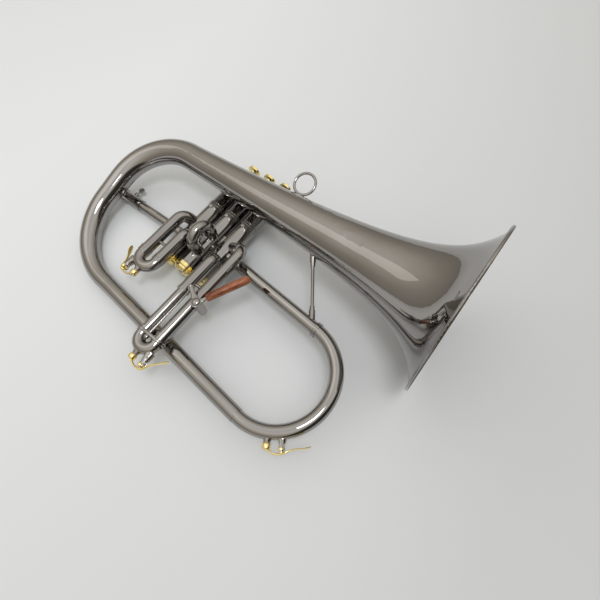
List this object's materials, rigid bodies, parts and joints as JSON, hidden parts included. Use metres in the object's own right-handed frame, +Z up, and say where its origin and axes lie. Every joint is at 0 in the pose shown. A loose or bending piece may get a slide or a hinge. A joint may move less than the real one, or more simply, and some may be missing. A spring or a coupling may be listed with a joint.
{
  "type": "flugelhorn",
  "caption": "Piston-valve flugelhorn with a wide conical bell, sliding mouthpiece receiver, valve slides, water keys and a wood-handled third-slide trigger, lying on its side",
  "frame": {"origin": "Middle of the footprint, on the surface the horn lies on", "axes": "+X runs forward along the bell, 4.7 degrees down towards the rim, +Y runs up along the valves as the horn is played, +Z is up and is the player's right"},
  "size_m": [0.3891, 0.2712, 0.1552],
  "materials": {
    "black_nickel": "black nickel plate, mirror polished",
    "gold_plate": "gold plate, polished",
    "steel": "satin steel",
    "wood": "oiled hardwood",
    "cork": "natural cork",
    "felt": "black felt"
  },
  "bodies": {
    "horn": {"bell_brace": "black_nickel", "bell_flare": "black_nickel", "bell_tail": "black_nickel", "bottom_cap_1": "gold_plate", "bottom_cap_2": "gold_plate", "bottom_cap_3": "gold_plate", "button_felt_1": "felt", "button_felt_2": "felt", "button_felt_3": "felt", "casing_brace": "black_nickel", "front_bow": "black_nickel", "guide_screw_1": "steel", "guide_screw_2": "steel", "guide_screw_3": "steel", "key_saddle_2": "black_nickel", "lower_branch": "black_nickel", "lower_branch_ferrule": "black_nickel", "mouthpipe": "black_nickel", "pinky_ring": "black_nickel", "rear_bow_lower": "black_nickel", "rear_bow_upper": "black_nickel", "slide_1_sleeves": "black_nickel", "slide_2_sleeves": "black_nickel", "slide_3_sleeves": "black_nickel", "top_cap_1": "black_nickel", "top_cap_2": "black_nickel", "top_cap_3": "black_nickel", "trigger_bracket": "black_nickel", "upper_bow_ferrule": "black_nickel", "upper_branch": "black_nickel", "valve_casing_1": "black_nickel", "valve_casing_2": "black_nickel", "valve_casing_3": "black_nickel", "valve_link_1": "black_nickel", "valve_link_2": "black_nickel", "valve_spring_1": "steel", "valve_spring_2": "steel", "valve_spring_3": "steel"},
    "valve_1": {"piston_1": "black_nickel", "finger_button_1": "gold_plate"},
    "valve_2": {"piston_2": "black_nickel", "finger_button_2": "gold_plate"},
    "valve_3": {"piston_3": "black_nickel", "finger_button_3": "gold_plate"},
    "tuning_slide": {"tuning_pipe": "black_nickel"},
    "lock_screw": {"lock_screw": "black_nickel"},
    "slide_1": {"slide_1_bow": "black_nickel", "key_saddle_1": "black_nickel"},
    "slide_2": {"slide_2_bow": "black_nickel"},
    "slide_3": {"slide_3_bow": "black_nickel", "key_saddle_3": "black_nickel", "link_rod": "steel"},
    "trigger": {"trigger_crank": "black_nickel", "trigger_handle": "wood"},
    "water_key_1": {"key_lever_1": "gold_plate", "key_cork_1": "cork"},
    "water_key_2": {"key_lever_2": "gold_plate", "key_cork_2": "cork"},
    "water_key_3": {"key_lever_3": "gold_plate", "key_cork_3": "cork"}
  },
  "joints": [
    {"name": "valve_1_press", "type": "slide", "parent": "horn", "child": "valve_1", "axis": [0.0028, -0.9995, -0.0315], "range_m": [0, 0.016], "stiffness_N_per_m": 60, "springref_m": -0.03, "deforming": ["valve_spring_1"]},
    {"name": "valve_2_press", "type": "slide", "parent": "horn", "child": "valve_2", "axis": [0.0028, -0.9995, -0.0315], "range_m": [0, 0.016], "stiffness_N_per_m": 60, "springref_m": -0.03, "deforming": ["valve_spring_2"]},
    {"name": "valve_3_press", "type": "slide", "parent": "horn", "child": "valve_3", "axis": [0.0028, -0.9995, -0.0315], "range_m": [0, 0.016], "stiffness_N_per_m": 60, "springref_m": -0.03, "deforming": ["valve_spring_3"]},
    {"name": "tuning_pull", "type": "slide", "parent": "horn", "child": "tuning_slide", "axis": [-0.996, 0, -0.0895], "range_m": [0, 0.012]},
    {"name": "lock_screw_turn", "type": "hinge", "parent": "horn", "child": "lock_screw", "pos_m": [-0.1697, -0.00701, 0.00826], "axis": [-0.0028, 0.9995, 0.0315], "range_deg": [-90, 90]},
    {"name": "slide_1_pull", "type": "slide", "parent": "horn", "child": "slide_1", "axis": [0.0028, -0.9995, -0.0315], "range_m": [0, 0.01]},
    {"name": "slide_2_pull", "type": "slide", "parent": "horn", "child": "slide_2", "axis": [-0.0895, -0.0316, 0.9955], "range_m": [0, 0.005]},
    {"name": "slide_3_throw", "type": "slide", "parent": "horn", "child": "slide_3", "axis": [0.0028, -0.9995, -0.0315], "range_m": [0, 0.01]},
    {"name": "trigger_squeeze", "type": "hinge", "parent": "horn", "child": "trigger", "pos_m": [-0.0017, -0.06286, 0.04931], "axis": [-0.0895, -0.0316, 0.9955], "range_deg": [0, 32], "stiffness_Nm_per_rad": 0.06, "springref_deg": -28.65},
    {"name": "water_key_1_open", "type": "hinge", "parent": "slide_1", "child": "water_key_1", "pos_m": [-0.09439, -0.07457, 0.02996], "axis": [0.0895, 0.0316, -0.9955], "range_deg": [0, 12], "stiffness_Nm_per_rad": 0.02, "springref_deg": -22.92},
    {"name": "water_key_2_open", "type": "hinge", "parent": "horn", "child": "water_key_2", "pos_m": [0.13563, -0.11201, 0.03237], "axis": [-0.0895, -0.0316, 0.9955], "range_deg": [0, 12], "stiffness_Nm_per_rad": 0.02, "springref_deg": -22.92},
    {"name": "water_key_3_open", "type": "hinge", "parent": "slide_3", "child": "water_key_3", "pos_m": [-0.00428, -0.13354, 0.03619], "axis": [-0.0895, -0.0316, 0.9955], "range_deg": [0, 12], "stiffness_Nm_per_rad": 0.02, "springref_deg": -22.92}
  ],
  "couplings": [
    {"joint": "trigger_squeeze", "follows": "slide_3_throw", "rad_per_m": 55.25}
  ]
}
